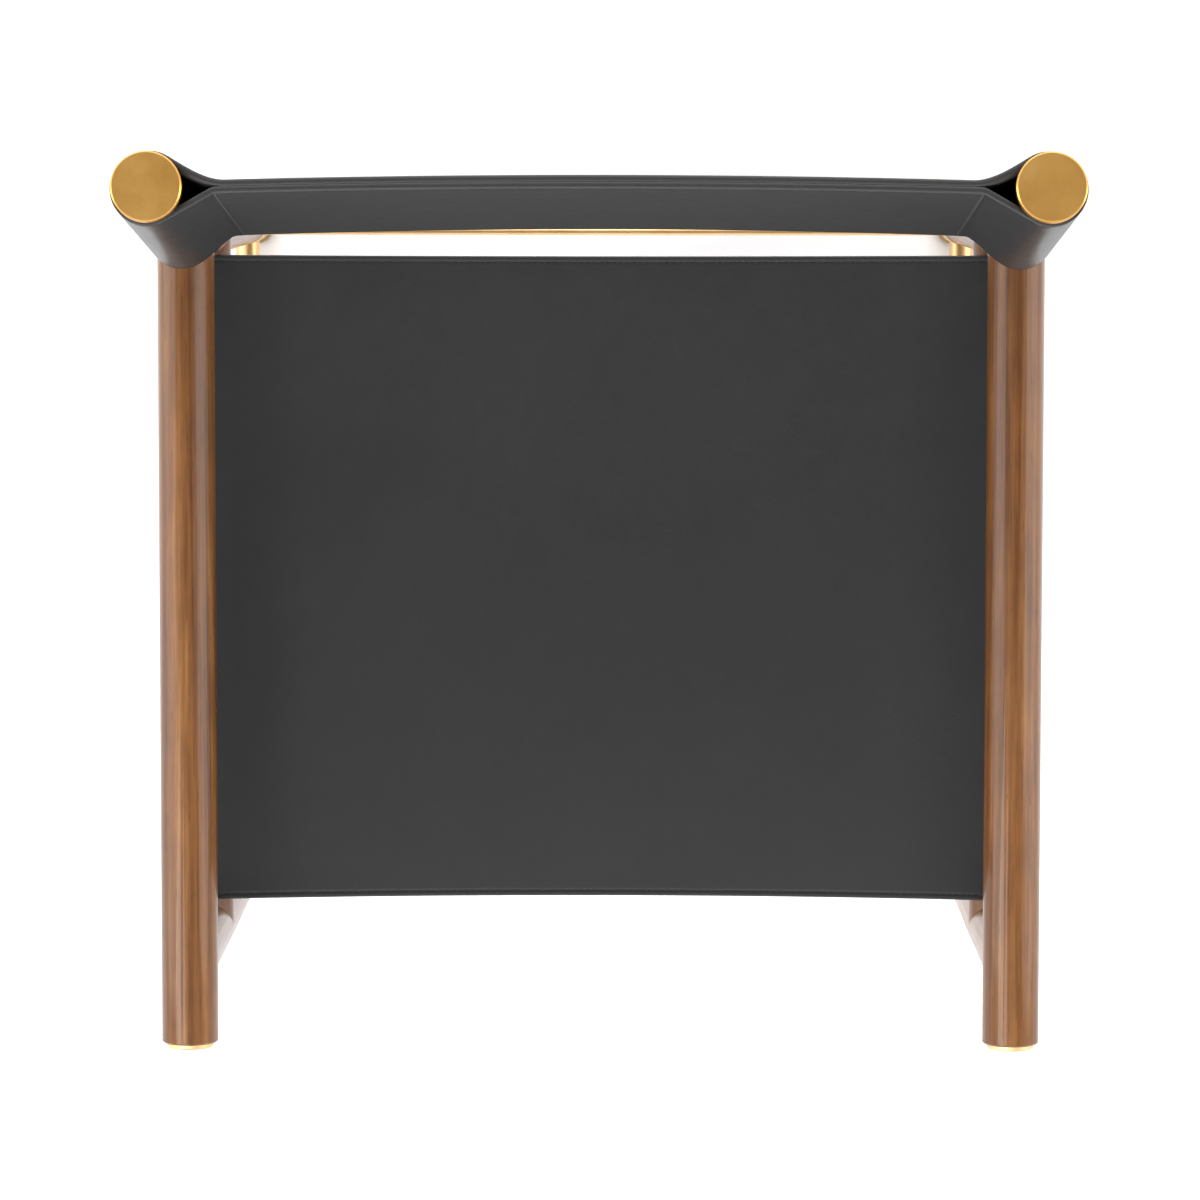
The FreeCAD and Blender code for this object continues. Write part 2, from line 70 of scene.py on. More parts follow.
# ---------------------------------------------------------------- materials
class Shader:
    """A material whose nodes are added and joined with few words."""

    def __init__(self, name):
        self.material = bpy.data.materials.new(name)
        self.material.use_nodes = True
        self.nodes = self.material.node_tree.nodes
        self.links = self.material.node_tree.links
        self.bsdf = self.nodes["Principled BSDF"]
        self.place = self.add("ShaderNodeTexCoord").outputs["Object"]

    def add(self, kind, **values):
        node = self.nodes.new(kind)
        for key, value in values.items():
            setattr(node, key, value)
        return node

    def feed(self, node, socket, value):
        target = node.inputs[socket]
        if isinstance(value, bpy.types.NodeSocket):
            self.links.new(value, target)
        else:
            target.default_value = value

    def scaled(self, scale):
        node = self.add("ShaderNodeMapping")
        self.feed(node, "Vector", self.place)
        self.feed(node, "Scale", scale)
        return node.outputs["Vector"]

    def noise(self, vector, detail=3.0, roughness=0.5, distortion=0.0):
        node = self.add("ShaderNodeTexNoise")
        self.feed(node, "Vector", vector)
        for socket, value in (("Scale", 1.0), ("Detail", detail), ("Roughness", roughness),
                              ("Distortion", distortion)):
            self.feed(node, socket, value)
        return node.outputs["Fac"]

    def cells(self, vector, scale, feature):
        node = self.add("ShaderNodeTexVoronoi", feature=feature)
        self.feed(node, "Vector", vector)
        self.feed(node, "Scale", scale)
        return node.outputs["Distance"]

    def ramp(self, value, *stops):
        node = self.add("ShaderNodeValToRGB")
        self.feed(node, "Fac", value)
        elements = node.color_ramp.elements
        while len(elements) < len(stops):
            elements.new(0.5)
        for element, (position, colour) in zip(elements, stops):
            element.position = position
            element.color = (*colour, 1)
        return node.outputs["Color"]

    def curve(self, value, low_in, high_in, low_out, high_out):
        node = self.add("ShaderNodeMapRange")
        for socket, number in (("Value", value), ("From Min", low_in), ("From Max", high_in),
                               ("To Min", low_out), ("To Max", high_out)):
            self.feed(node, socket, number)
        return node.outputs["Result"]

    def math(self, operation, a, b):
        node = self.add("ShaderNodeMath", operation=operation)
        self.feed(node, 0, a)
        self.feed(node, 1, b)
        return node.outputs["Value"]

    def mix(self, factor, a, b):
        node = self.add("ShaderNodeMix", data_type="RGBA")
        self.feed(node, "Factor", factor)
        for socket, value in (("A", a), ("B", b)):
            target = [i for i in node.inputs if i.name == socket and i.type == "RGBA"][0]
            if isinstance(value, bpy.types.NodeSocket):
                self.links.new(value, target)
            else:
                target.default_value = (*value, 1)
        return [o for o in node.outputs if o.type == "RGBA"][0]

    def bump(self, height, strength, distance, below=None):
        node = self.add("ShaderNodeBump")
        self.feed(node, "Height", height)
        self.feed(node, "Strength", strength)
        self.feed(node, "Distance", distance)
        if below is not None:
            self.feed(node, "Normal", below)
        return node.outputs["Normal"]

    def surface(self, **values):
        names = {"color": "Base Color", "metallic": "Metallic", "roughness": "Roughness",
                 "normal": "Normal", "coat": "Coat Weight", "coat_roughness": "Coat Roughness",
                 "specular": "Specular IOR Level", "sheen": "Sheen Weight",
                 "sheen_roughness": "Sheen Roughness", "coat_normal": "Coat Normal"}
        for key, value in values.items():
            if key == "color" and not isinstance(value, bpy.types.NodeSocket):
                value = (*value, 1)
            self.feed(self.bsdf, names[key], value)
        return self.material


def times(color, factor):
    return tuple(channel * factor for channel in color)


def walnut(name, along, lightness):
    """Lacquered walnut whose grain runs along one axis of the frame."""
    s = Shader(name)

    def stretched(across, length):
        scale = [across, across, across]
        scale[along] = length
        return s.scaled(scale)

    streaks = s.noise(stretched(330, 5), detail=5, roughness=0.62, distortion=0.25)
    bands = s.noise(stretched(75, 1.6), detail=3, roughness=0.5, distortion=0.5)
    blotches = s.noise(stretched(70, 22), detail=3, roughness=0.55)
    tone = s.math("ADD", s.math("MULTIPLY", streaks, 0.42), s.math("MULTIPLY", bands, 0.38))
    tone = s.math("ADD", tone, s.math("MULTIPLY", blotches, 0.20))
    color = s.ramp(tone, (0.34, times((0.060, 0.019, 0.004), lightness)),
                   (0.46, times((0.134, 0.047, 0.009), lightness)),
                   (0.55, times((0.195, 0.074, 0.015), lightness)),
                   (0.68, times((0.300, 0.132, 0.034), lightness)))
    pores = s.noise(stretched(900, 55), detail=2, roughness=0.5)
    pore_mask = s.curve(pores, 0.64, 0.74, 0.0, 0.55)
    color = s.mix(pore_mask, color, (0.045, 0.016, 0.006))
    rough = s.curve(streaks, 0.3, 0.7, 0.30, 0.46)
    relief = s.bump(s.math("SUBTRACT", streaks, s.math("MULTIPLY", pore_mask, 0.6)), 0.12, 0.00025)
    ripple = s.bump(s.noise(stretched(28, 9), detail=2), 0.10, 0.0006)
    return s.surface(color=color, roughness=rough, normal=relief, specular=0.22, coat=0.38,
                     coat_roughness=0.055, coat_normal=ripple)


def brass(name, tones, brush=(900, 900, 900), rough=0.30):
    """Satin brass, brushed along one axis when its scale there is smaller, in three close tones."""
    s = Shader(name)
    brushed = s.noise(s.scaled(brush), detail=4, roughness=0.6)
    stain = s.noise(s.scaled((22, 22, 22)), detail=4, roughness=0.6)
    color = s.ramp(stain, (0.30, tones[0]), (0.52, tones[1]), (0.75, tones[2]))
    roughness = s.math("ADD", s.curve(brushed, 0.3, 0.7, rough - 0.02, rough + 0.03),
                       s.curve(stain, 0.3, 0.7, -0.02, 0.03))
    return s.surface(color=color, metallic=1.0, roughness=roughness,
                     normal=s.bump(brushed, 0.02, 0.0001))


def leather(name, lightness, rough, specular):
    """Thick vegetable-tanned leather: fine pebbled grain, soft marks and a low sheen."""
    s = Shader(name)
    pebbles = s.cells(s.scaled((1, 1, 1)), 1500, "SMOOTH_F1")
    creases = s.cells(s.scaled((1, 1, 1)), 620, "DISTANCE_TO_EDGE")
    mottling = s.noise(s.scaled((9, 9, 9)), detail=5, roughness=0.6)
    marks = s.noise(s.scaled((70, 55, 70)), detail=4, roughness=0.7, distortion=0.6)
    color = s.ramp(mottling, (0.32, times((0.0118, 0.0119, 0.0125), lightness)),
                   (0.52, times((0.0135, 0.0136, 0.0143), lightness)),
                   (0.72, times((0.0155, 0.0155, 0.0162), lightness)))
    color = s.mix(s.curve(marks, 0.55, 0.75, 0.0, 0.20), color,
                  times((0.0190, 0.0190, 0.0200), lightness))
    grain_height = s.math("ADD", s.math("MULTIPLY", pebbles, 0.55),
                          s.curve(creases, 0.0, 0.22, 0.0, 0.55))
    fine = s.bump(grain_height, 0.16, 0.00030)
    soft = s.bump(s.noise(s.scaled((34, 34, 34)), detail=3, roughness=0.5), 0.05, 0.0018, below=fine)
    roughness = s.math("ADD", s.curve(marks, 0.3, 0.7, rough - 0.025, rough + 0.025),
                       s.curve(creases, 0.0, 0.12, 0.06, 0.0))
    return s.surface(color=color, roughness=roughness, normal=soft, specular=specular, sheen=0.05,
                     sheen_roughness=0.4)


def plain(name, color, rough, metallic=0.0, scale=600.0):
    """A quiet fine-grained surface for hidden plastic, steel, thread and raw wood."""
    s = Shader(name)
    grain = s.noise(s.scaled((scale, scale, scale)), detail=3, roughness=0.6)
    return s.surface(color=s.ramp(grain, (0.3, times(color, 0.78)), (0.7, times(color, 1.2))),
                     metallic=metallic,
                     roughness=s.curve(grain, 0.3, 0.7, rough - 0.06, rough + 0.08),
                     normal=s.bump(grain, 0.15, 0.0001))


WALNUT = [walnut("walnut_" + axis, number, 0.89) for number, axis in enumerate("xyz")]
BRASS = brass("satin_brass", ((0.88, 0.460, 0.112), (0.92, 0.505, 0.135), (0.93, 0.545, 0.170)))
CUT_EDGE = plain("leather_cut_edge", (0.015, 0.0145, 0.015), 0.42, scale=900.0)
# the flesh side's grey is partly its own colour and partly painted light, raised to lighten the shaded
# insides of the band's loops
FLESH = plain("leather_flesh_side", (0.115, 0.110, 0.107), 0.92, scale=1400.0)
# a lighter grey for the band's front edges: a painted highlight where the rounded edge catches light
EDGE_HIGHLIGHT = plain("leather_edge_painted_highlight", (0.040, 0.040, 0.042), 0.38, scale=900.0)
# the welt along the crease is real; its light grey is a painted highlight, the light that the fold
# catches
WELT_HIGHLIGHT = plain("seam_welt_painted_highlight", (0.052, 0.052, 0.054), 0.38, scale=900.0)
BRASS_ROD = brass("satin_brass_rod", ((0.71, 0.455, 0.205), (0.75, 0.50, 0.24), (0.78, 0.54, 0.28)),
                  brush=(200, 900, 900), rough=0.36)
LEATHER_SEAT = leather("leather_seat", lightness=0.76, rough=0.42, specular=0.28)
# the band's copy of the leather is darker than the seat's: painted shade on its near-upright face
LEATHER_BAND = leather("leather_band", lightness=0.66, rough=0.36, specular=0.36)
THREAD = plain("waxed_thread", (0.010, 0.010, 0.011), 0.42, scale=2500.0)
# the seam's light grey thread is a painted highlight along the crease as well
SEAM_THREAD_HIGHLIGHT = plain("seam_thread_painted_highlight", (0.095, 0.095, 0.100), 0.42, scale=2500.0)
GLIDE = plain("glide_plastic", (0.03, 0.03, 0.03), 0.5)
STEEL = plain("zinc_steel", (0.45, 0.46, 0.48), 0.36, metallic=1.0)
DOWEL = plain("dowel_beech", (0.45, 0.30, 0.17), 0.55)

NODE_LOOKS = {
    "arm_cap": BRASS_ROD, "post_cap": BRASS, "foot": BRASS_ROD, "side_stretcher": BRASS_ROD,
    "back_bar": BRASS_ROD, "arm": WALNUT[1], "seat_rail": WALNUT[1], "front_cross_rail": WALNUT[0],
    "front_leg": WALNUT[2], "back_leg": WALNUT[2], "back_post": WALNUT[2], "post_dowel": DOWEL,
    "glide": GLIDE, "clamp_strip": STEEL, "sling_screws": STEEL,
}
for name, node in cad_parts.items():
    looks = [key for key in NODE_LOOKS if name.startswith(key)]
    if not looks:
        continue
    look = NODE_LOOKS[max(looks, key=len)]
    node.data.materials.clear()
    node.data.materials.append(look)


# ---------------------------------------------------------------- leather sheets
EDGE_R = 0.9              # rounding of the grain side's cut edges
FLESH_R = 0.3             # and of the flesh side's
EDGE_BULGE = 0.05         # the cut edge's middle stands out by this much
PLAIN_FROM = 18.0         # from the hem to where the face's even steps begin
SEAT_STEP = 7.0           # along a face, between points
BAND_STEP = 8.0
# across the cut edge and the sewing line: distance in from the hem, and height over the face
HEM = [(0.9, 0.0), (1.5, 0.02), (2.4, 0.0), (3.2, -0.05), (3.65, -0.20), (4.0, -0.32), (4.35, -0.20),
       (4.8, -0.05), (5.6, 0.02), (7.0, 0.0), (9.5, 0.0), (13.0, 0.0)]
STITCH_IN = 4.0


def section(start, end, thickness, step, grain_side):
    """The closed outline of a sheet cut across: (distance along, height over the middle surface)."""
    half = thickness / 2
    inner_start, inner_end = start + PLAIN_FROM, end - PLAIN_FROM
    count = max(2, round((inner_end - inner_start) / step))
    face = [(start + d, h) for d, h in HEM]
    face += [(inner_start + (inner_end - inner_start) * k / count, 0.0) for k in range(count + 1)]
    face += [(end - d, h) for d, h in reversed(HEM)]

    def corner(edge, direction, top):
        radius = EDGE_R if top == grain_side else FLESH_R
        points = []
        for k in range(1, 4):
            a = math.pi / 2 * k / 4
            points.append((edge - direction * radius * (1 - math.sin(a)),
                           top * (half - radius * (1 - math.cos(a)))))
        return points

    outline = [(w, half + h) for w, h in face]
    outline += corner(end, 1, 1) + [(end + EDGE_BULGE, 0.0)] + corner(end, 1, -1)[::-1]
    outline += [(w, -half - h) for w, h in reversed(face)]
    outline += corner(start, -1, -1) + [(start - EDGE_BULGE, 0.0)] + corner(start, -1, 1)[::-1]
    return outline


def sheet_mesh(name, path, outlines, place, closed, grain, grain_side, line=None):
    """Lofts one outline per station of the path. A path's station is (point, normal) in its plane.

    grain_side is 1 where the grain faces along the normals and -1 where it faces away. Where
    line(point) is true, the grain side's cut edges get a lighter colour: a painted highlight.
    """
    rows = []
    vertices = []
    for (point, normal), outline in zip(path, outlines):
        row = []
        for along, height in outline:
            row.append(len(vertices))
            vertices.append(place(point[0] + normal[0] * height, point[1] + normal[1] * height,
                                  along))
        rows.append(row)
    faces = []
    size = len(rows[0])
    for k in range(len(rows) if closed else len(rows) - 1):
        first, second = rows[k], rows[(k + 1) % len(rows)]
        for j in range(size):
            faces.append((first[j], first[(j + 1) % size], second[(j + 1) % size], second[j]))
    if not closed:
        faces.append(tuple(rows[0]))
        faces.append(tuple(reversed(rows[-1])))
    mesh = bpy.data.meshes.new(name)
    mesh.from_pydata([v * MM for v in vertices], [], faces)
    mesh.validate()
    work = bmesh.new()
    work.from_mesh(mesh)
    bmesh.ops.recalc_face_normals(work, faces=work.faces)
    work.to_mesh(mesh)
    work.free()
    for look in (grain, CUT_EDGE, FLESH, EDGE_HIGHLIGHT):
        mesh.materials.append(look)
    # an outline is its upper face, 8 short runs round one edge, its lower face, 8 round the other
    face = (size - 14) // 2
    upper, lower = (0, 2) if grain_side > 0 else (2, 0)
    kinds = [upper] * (face - 1) + [1] * 8 + [lower] * (face - 1) + [1] * 8
    if grain_side > 0:
        painted_highlight_runs = {face - 2, face - 1, face, size - 2, size - 1, 0}
    else:
        painted_highlight_runs = {face + 5, face + 6, face + 7, 2 * face + 5, 2 * face + 6, 2 * face + 7}
    walls = len(rows) * size if closed else (len(rows) - 1) * size
    for k, polygon in enumerate(mesh.polygons):
        kind = kinds[k % size] if k < walls else 1
        # where line(point) holds, these edge runs take the lighter colour of the painted highlight
        if line and k % size in painted_highlight_runs and line(path[k // size][0]):
            kind = 3
        polygon.material_index = kind
    mesh.shade_smooth()
    piece = bpy.data.objects.new(name, mesh)
    bpy.context.scene.collection.objects.link(piece)
    return piece


def with_normals(points, closed):
    """(point, unit normal to the left) for each point of a path in a plane."""
    count = len(points)
    stations = []
    for k, p in enumerate(points):
        before = points[(k - 1) % count] if closed or k > 0 else p
        after = points[(k + 1) % count] if closed or k < count - 1 else p
        tx, ty = after[0] - before[0], after[1] - before[1]
        length = math.hypot(tx, ty)
        stations.append((p, (-ty / length, tx / length)))
    return stations


def arc(centre, radius, start, end, step):
    """Points on a circle from one angle to another, in degrees anticlockwise from +u."""
    count = max(1, round(abs(end - start) / step))
    points = []
    for k in range(count + 1):
        a = math.radians(start + (end - start) * k / count)
        points.append((centre[0] + radius * math.cos(a), centre[1] + radius * math.sin(a)))
    return points


def close_tube(faces, base, rings, sides):
    """Adds the wall and both ends of a tube whose rings of vertices start at base."""
    for ring in range(rings - 1):
        for k in range(sides):
            p = base + ring * sides + k
            q = base + ring * sides + (k + 1) % sides
            faces.append((p, q, q + sides, p + sides))
    faces.append(tuple(base + k for k in reversed(range(sides))))
    faces.append(tuple(base + (rings - 1) * sides + k for k in range(sides)))


def smooth_piece(name, vertices, faces, material):
    """One object in one material, from vertices in millimetres."""
    mesh = bpy.data.meshes.new(name)
    mesh.from_pydata([v * MM for v in vertices], [], faces)
    mesh.shade_smooth()
    mesh.materials.append(material)
    piece = bpy.data.objects.new(name, mesh)
    bpy.context.scene.collection.objects.link(piece)
    return piece


STITCH_PITCH = 4.8
STITCH_SUNK = 0.42        # a stitch's ends lie this far below its line
STITCH_RISE = 0.52        # and its middle rises from them by this much
STITCH_TIP = 0.55         # its ends' share of its radius


def thread_segments(name, lines, material, radius=0.42, length=3.4):
    """Short sewn threads: each line is a list of (point, up), followed at even steps."""
    vertices, faces = [], []
    sides, rings = 6, 5
    for line in lines:
        distance = 0.0
        next_at = STITCH_PITCH / 2
        for (a, up_a), (b, up_b) in zip(line, line[1:]):
            run = (b - a).length
            while next_at <= distance + run and run > 0:
                t = (next_at - distance) / run
                middle = a.lerp(b, t)
                up = up_a.lerp(up_b, t).normalized()
                ahead = (b - a).normalized()
                side = ahead.cross(up).normalized()
                base = len(vertices)
                for ring in range(rings):
                    f = ring / (rings - 1) * 2 - 1
                    arch = 1 - f * f
                    height = STITCH_RISE * arch - STITCH_SUNK
                    centre = middle + ahead * (f * length / 2) + up * height
                    r = radius * (STITCH_TIP + (1 - STITCH_TIP) * arch)
                    for k in range(sides):
                        angle = 2 * math.pi * k / sides
                        vertices.append(centre + side * (r * math.cos(angle))
                                        + up * (r * math.sin(angle)))
                close_tube(faces, base, rings, sides)
                next_at += STITCH_PITCH
            distance += run
    return smooth_piece(name, vertices, faces, material)


def share(value):
    """The value, kept between 0 and 1."""
    return min(1.0, max(0.0, value))


def eased(value):
    """The same, leaving 0 and reaching 1 gently."""
    t = share(value)
    return t * t * (3 - 2 * t)


def middleness(u):
    """1 midway between the side frames and 0 at them, along a parabola."""
    return 1 - share(abs(u) / SIDE_X) ** 2


# ---- the seat
ARC_STEP = 6.0            # degrees, round the rails and the posts
SEAT_PARTS = 120          # of the seat's width between the rails
SEAT_CURVE_REAR = 1.0     # how far the rear hem's middle curves in
SEAT_CURVE_FRONT = 2.2    # and the front hem's
LEG_CLEAR = 21.0          # the seat's rear corners are cut round the back legs at this radius
RAIL_FORWARD = Vector((0, -math.cos(RAKE), math.sin(RAKE)))
RAIL_UP = Vector((0, math.sin(RAKE), math.cos(RAKE)))


def on_rails(u, v, w):
    """u across, v up from the rails' plane, w forwards from the back legs' axis."""
    return Vector((u, LEG_Y, RAIL_Z)) + RAIL_UP * v + RAIL_FORWARD * w


def seat_path():
    radius = WOOD_R + SEAT_THICK / 2
    lean = math.degrees(math.atan(4 * SEAT_SAG / (2 * SIDE_X)))
    left = arc((-SIDE_X, 0), radius, 270 + SEAT_TUCK, 90 - lean, ARC_STEP)
    u0, v0 = left[-1]
    middle = []
    drop = v0 - (radius - SEAT_SAG)
    for k in range(1, SEAT_PARTS):
        u = u0 + (-2 * u0) * k / SEAT_PARTS
        middle.append((u, v0 - drop * (1 - (u / u0) ** 2)))
    right = [(-u, v) for u, v in reversed(left)]
    return left + middle + right


def seat_hems(u):
    """Where the rear and front hems lie for a place across the seat."""
    start = SEAT_START + SEAT_CURVE_REAR * middleness(u)
    from_leg = abs(abs(u) - SIDE_X)
    if from_leg < LEG_CLEAR:
        start = max(start, math.sqrt(LEG_CLEAR ** 2 - from_leg ** 2))
    return start, SEAT_END - SEAT_CURVE_FRONT * middleness(u)


seat_points = seat_path()
seat_stations = with_normals(seat_points, False)
# the path runs from the left rail over to the right one, so its left is the upper side
seat_outlines = [section(*seat_hems(p[0]), SEAT_THICK, SEAT_STEP, 1) for p in seat_points]
seat = sheet_mesh("leather_seat", seat_stations, seat_outlines, on_rails, False, LEATHER_SEAT, 1)

# stitches run along both hems, on both faces, over the top of the rails and down to these limits
STITCHED_PAST_RAIL = 4.0
STITCHED_ABOVE_RAIL = 8.0
SEAT_LINE_SUNK = 0.05     # the sewing line lies this far inside the face

seat_lines = []
for hem in (0, 1):
    for face in (1, -1):
        line = []
        for point, normal in seat_stations:
            if abs(point[0]) > SIDE_X + STITCHED_PAST_RAIL or point[1] < STITCHED_ABOVE_RAIL:
                continue
            at = seat_hems(point[0])[hem] + (STITCH_IN if hem == 0 else -STITCH_IN)
            height = face * (SEAT_THICK / 2 - SEAT_LINE_SUNK)
            u, v = point[0] + normal[0] * height, point[1] + normal[1] * height
            up = Vector((normal[0], 0, 0)) + RAIL_UP * normal[1]
            line.append((on_rails(u, v, at), up * face))
        seat_lines.append(line)
seat_thread = thread_segments("seat_stitches", seat_lines, THREAD)

# ---- the back band
POST_UP = Vector((0, math.sin(RECLINE), math.cos(RECLINE)))
POST_BACK = Vector((0, math.cos(RECLINE), -math.sin(RECLINE)))
# the band's foot departs from its plain path between these distances from the posts' axes
LOOP_KEPT = 12.0          # the loop keeps its shape up to here
BOW_REACH = 34.0          # the foot's first bow is full this much further on
PULL_REACH = 30.0         # the pull on the bends is full this much further on
PULL_END = 96.0           # the pull is over here
PULL_FADE = 50.0          # having faded over this length


def band_bow(u, p):
    """How far back the band is carried, across it and up it: next to nothing round the posts."""
    beside = eased((SIDE_X - LOOP_KEPT - abs(u)) / BOW_REACH)
    foot = BOW_FOOT[0] * beside + BOW_FOOT[1] * middleness(u)
    return foot + (BOW_TOP * middleness(u) - foot) * share(p / BAND_END)


def on_posts(u, b, p):
    """u across, b back from the posts' plane before the bow, p up the posts from their joint."""
    return Vector((u, LEG_Y, JOINT_Z)) + POST_BACK * (b + band_bow(u, p)) + POST_UP * p


def on_loops(u, b, p):
    """The same, with the bends beside the posts drawn towards them at the band's foot."""
    from_post = SIDE_X - abs(u)
    near = eased((from_post - LOOP_KEPT) / PULL_REACH) * eased((PULL_END - from_post) / PULL_FADE)
    pull = FOOT_PULL * near * (1 - share(p / BAND_END))
    return on_posts(u + math.copysign(pull, u), b, p)


def blend_cubic(a, b, slope_a, slope_b, count):
    """Points between a and b of a cubic with those slopes, without a itself."""
    points = []
    run = b[0] - a[0]
    for k in range(1, count + 1):
        t = k / count
        h1, h2 = 2 * t ** 3 - 3 * t ** 2 + 1, t ** 3 - 2 * t ** 2 + t
        h3, h4 = -2 * t ** 3 + 3 * t ** 2, t ** 3 - t ** 2
        value = h1 * a[1] + h2 * run * slope_a + h3 * b[1] + h4 * run * slope_b
        points.append((a[0] + run * t, value))
    return points


FLAT_STEP = 6.0           # between the points of the band's flat layers
MIDDLE_LEFT = 2.0         # which stop this far from the middle, where the two halves are joined
BEND_BEFORE = 2.6         # the front layer's tight bend begins this far before the crease
BEND_AFTER = 3.0          # and ends this far after it
BEND_DEPTH = 0.92         # share of the slope's height that the bend is left to close


def between(a, b, t):
    """The place a share t of the way from a to b."""
    return a[0] + (b[0] - a[0]) * t, a[1] + (b[1] - a[1]) * t


def flat_run(u, b):
    """Even steps from u towards the middle, without u itself."""
    count = int((u - MIDDLE_LEFT) / FLAT_STEP)
    return [(u - k * FLAT_STEP, b) for k in range(1, count + 1)]


def band_path():
    """The closed loop, anticlockwise from above, from the front layer's middle."""
    radius = WOOD_R + BAND_THICK / 2
    flat = BAND_THICK / 2 + LAYER_GAP
    slope = math.tan(BAND_SLOPE)
    leave = math.degrees(BAND_SLOPE)
    # round the right post, where inwards is -u; the loop leaves the post's circle leaning inwards
    ring = arc((SIDE_X, 0), radius, -90 - leave, 90 + leave, ARC_STEP)
    back_flat = SIDE_X - BACK_FLAT_U
    half_back = blend_cubic(ring[-1], (back_flat, flat), slope, 0.0, 14) + flat_run(back_flat, flat)
    # the front layer, from the post's circle straight to a tight bend
    crease = SIDE_X - CREASE_U
    line_end = (crease + BEND_BEFORE, -flat - BEND_BEFORE * slope * BEND_DEPTH)
    straight = [between(ring[0], line_end, k / 8) for k in range(1, 9)]
    turn = blend_cubic(line_end, (crease - BEND_AFTER, -flat), -slope, 0.0, 7)
    half_front = straight + turn + flat_run(crease - BEND_AFTER, -flat)
    right = list(reversed(half_front)) + ring + half_back
    left = [(-u, b) for u, b in reversed(right)]
    return right + left


band_points = band_path()
band_stations = with_normals(band_points, True)
band_outlines = [section(BAND_START, BAND_END, BAND_THICK, BAND_STEP, -1)] * len(band_points)
# the band's front layer gets the painted highlight along its edges
band = sheet_mesh("leather_back_band", band_stations, band_outlines, on_loops, True, LEATHER_BAND,
                  -1, line=lambda point: point[1] < -BAND_THICK / 4)


SEAM_IN = 1.0             # from a bend to the seam beside it
WELT_R = 1.0
WELT_LIFT = -0.35         # of the welt's axis over the face
SEAM_LIFT = 0.10          # and of the sewing line on the welt
WELT_FOOT = 2.2           # the welt's ends lie this far in from the band's lower edge
WELT_HEAD = 1.6           # and from its upper edge
SEAM_SHORTER = 3.0        # the sewing line stops this far before the welt's ends
SEAM_PARTS = 60


def crease_place(side, front, lift):
    """(u, b) of the seam where the layers meet, on the front or back face, raised by a distance."""
    u = side * (SIDE_X - (CREASE_U if front else BACK_FLAT_U) - SEAM_IN)
    out = -1 if front else 1
    return u, out * (BAND_THICK + LAYER_GAP + lift)


def rib(name, lines, radius, material):
    """Thin round ribs along straight lines (from, to, up), narrower at their ends."""
    vertices, faces = [], []
    sides, rings = 8, 41
    for a, b, up in lines:
        side = (b - a).normalized().cross(up).normalized()
        base = len(vertices)
        for ring in range(rings):
            t = ring / (rings - 1)
            taper = min(1.0, 14 * t + 0.3, 14 * (1 - t) + 0.3)
            for k in range(sides):
                angle = 2 * math.pi * k / sides
                out = side * math.cos(angle) + up * math.sin(angle)
                vertices.append(a.lerp(b, t) + out * radius * taper)
        close_tube(faces, base, rings, sides)
    return smooth_piece(name, vertices, faces, material)


welts, seams = [], []
low, high = BAND_START + WELT_FOOT, BAND_END - WELT_HEAD
seam_low, seam_high = low + SEAM_SHORTER, high - SEAM_SHORTER
for side in (-1, 1):
    for front in (True, False):
        out = POST_BACK * (-1 if front else 1)
        u, b = crease_place(side, front, WELT_LIFT)
        welts.append((on_posts(u, b, low), on_posts(u, b, high), out))
        u, b = crease_place(side, front, SEAM_LIFT)
        steps = [seam_low + (seam_high - seam_low) * k / SEAM_PARTS for k in range(SEAM_PARTS + 1)]
        seams.append([(on_posts(u, b, p), out) for p in steps])
# the welts and their seam carry the painted highlight of the crease in their light greys
band_welts = rib("band_welts", welts, WELT_R, WELT_HIGHLIGHT)
band_thread = thread_segments("band_stitches", seams, SEAM_THREAD_HIGHLIGHT, radius=0.36, length=3.2)

for piece, node in ((seat, "seat_sling"), (band, "back_band")):
    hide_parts(node)
for piece in (seat, band, seat_thread, band_thread, band_welts):
    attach(piece, "root")


# ---------------------------------------------------------------- floor, light and camera
FLOOR_SIZE = 60           # metres
FLOOR_DROP = 0.0005       # below the glides, so that their faces don't coincide
# the sky's brightness from the horizon up: (height, level), a little bluer than grey
SKY = [(0.0, 1.10), (0.30, 0.85), (0.62, 0.42), (1.0, 0.34)]
SKY_BLUE = 1.02
# soft lights round a point between the arms: name, degrees sideways and forwards off the vertical,
# width, depth and radiance
PANELS = [
    ("key_left_outer", -43.0, 19.0, 1.5, 2.4, 7.0), ("key_left_inner", -25.5, 19.0, 1.5, 2.4, 6.0),
    ("strip_right", 48.0, 4.0, 1.1, 5.0, 1.0), ("wall_left", -72.0, 0.0, 2.6, 7.0, 3.2),
    ("wall_right", 72.0, 0.0, 2.6, 7.0, 3.0), ("front", 0.0, 28.0, 6.0, 1.8, 8.5),
    ("back", 0.0, -60.0, 7.0, 3.0, 5.4),
]
PANEL_DISTANCE = 6.5
ARM_HEIGHT = Vector((0.0, 0.0, 0.6))
# the camera looks down on the chair; these were fitted to the photograph
CAMERA_PLACE = (0.017376, 0.321267, 3.890012)
CAMERA_TURN = (-5.526, 0.3126, 0.0523)
LENS = 141.0
SENSOR = 36.0

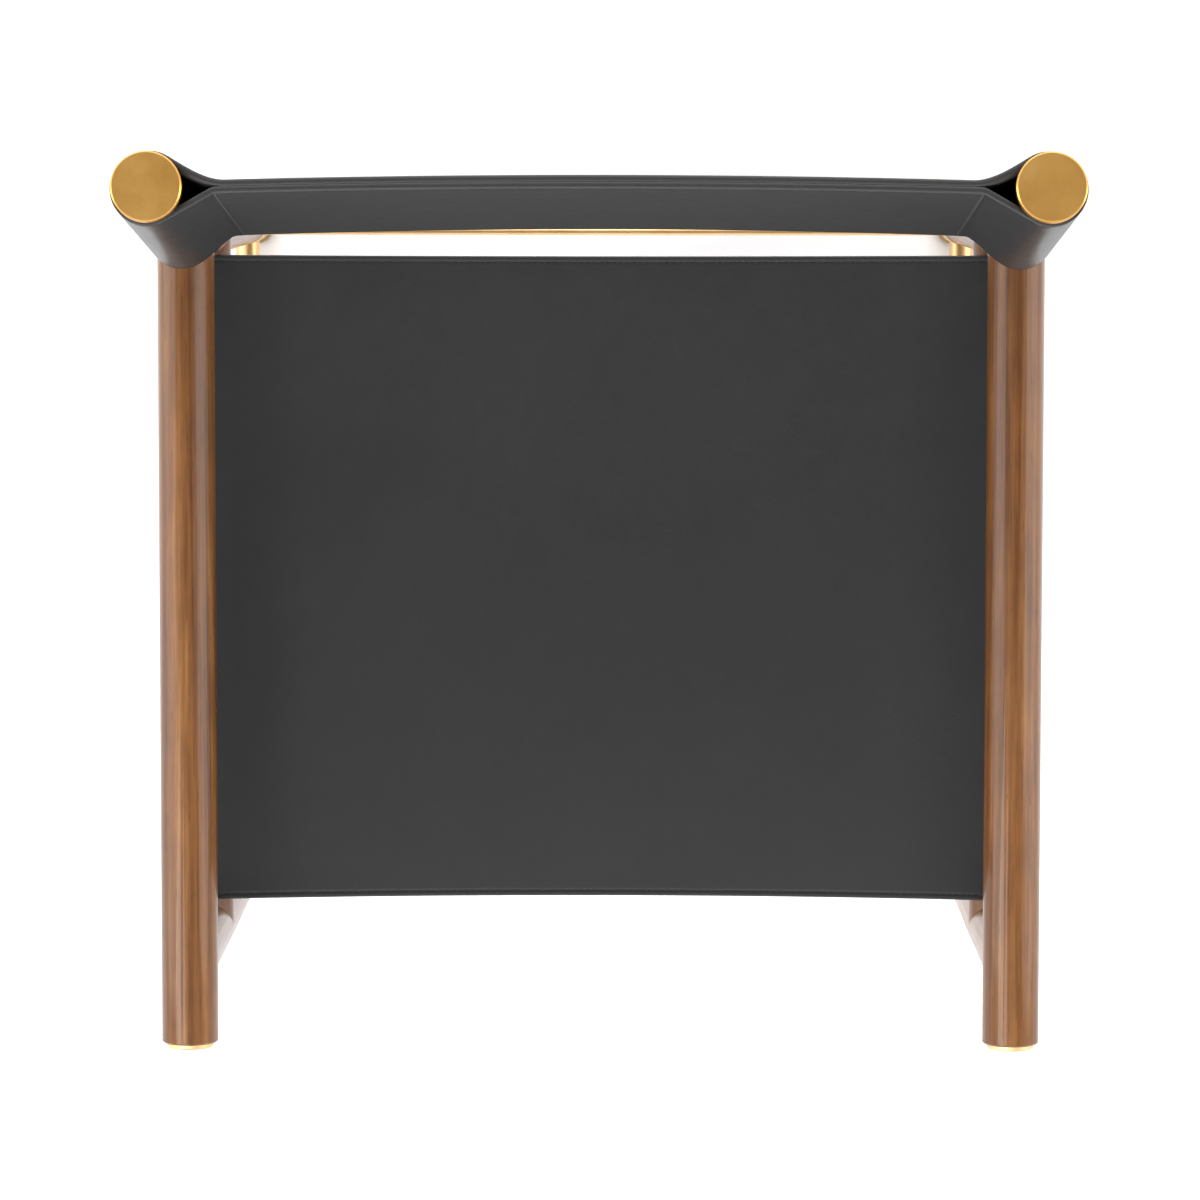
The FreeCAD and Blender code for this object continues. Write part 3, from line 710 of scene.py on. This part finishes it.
floor_look = Shader("white_floor")
pale = floor_look.noise(floor_look.scaled((2, 2, 2)), detail=2)
floor_whites = floor_look.ramp(pale, (0.3, (0.94, 0.94, 0.94)), (0.7, (0.97, 0.97, 0.97)))
floor_look.surface(color=floor_whites, roughness=0.9, specular=0.1)
bpy.ops.mesh.primitive_plane_add(size=FLOOR_SIZE, location=(0, 0, -FLOOR_DROP))
floor = bpy.context.object
floor.name = "floor"
floor.data.materials.append(floor_look.material)

world = bpy.data.worlds.new("studio")
bpy.context.scene.world = world
world.use_nodes = True
nodes, links = world.node_tree.nodes, world.node_tree.links
where = nodes.new("ShaderNodeTexCoord")
split = nodes.new("ShaderNodeSeparateXYZ")
links.new(where.outputs["Generated"], split.inputs[0])
fade = nodes.new("ShaderNodeValToRGB")
while len(fade.color_ramp.elements) < len(SKY):
    fade.color_ramp.elements.new(0.5)
for element, (height, level) in zip(fade.color_ramp.elements, SKY):
    element.position = height
    element.color = (level, level, level * SKY_BLUE, 1)
links.new(split.outputs["Z"], fade.inputs["Fac"])
links.new(fade.outputs["Color"], nodes["Background"].inputs["Color"])
nodes["Background"].inputs["Strength"].default_value = 1.0

for name, sideways, forwards, width, depth, radiance in PANELS:
    toward = Vector((math.tan(math.radians(sideways)), -math.tan(math.radians(forwards)), 1))
    toward.normalize()
    panel = bpy.data.lights.new(name, "AREA")
    panel.shape = "RECTANGLE"
    panel.size = width
    panel.size_y = depth
    panel.energy = radiance * math.pi * width * depth
    lamp = bpy.data.objects.new(name, panel)
    bpy.context.scene.collection.objects.link(lamp)
    lamp.location = ARM_HEIGHT + toward * PANEL_DISTANCE
    lamp.rotation_euler = (-toward).to_track_quat("-Z", "Y").to_euler()
    lamp.visible_camera = False

camera_data = bpy.data.cameras.new("camera")
camera_data.lens = LENS
camera_data.sensor_width = SENSOR
camera_data.clip_end = 100
camera = bpy.data.objects.new("camera", camera_data)
bpy.context.scene.collection.objects.link(camera)
camera.location = CAMERA_PLACE
camera.rotation_euler = [math.radians(angle) for angle in CAMERA_TURN]
bpy.context.scene.camera = camera
bpy.context.scene.view_settings.view_transform = "Standard"
bpy.context.scene.view_settings.look = "None"
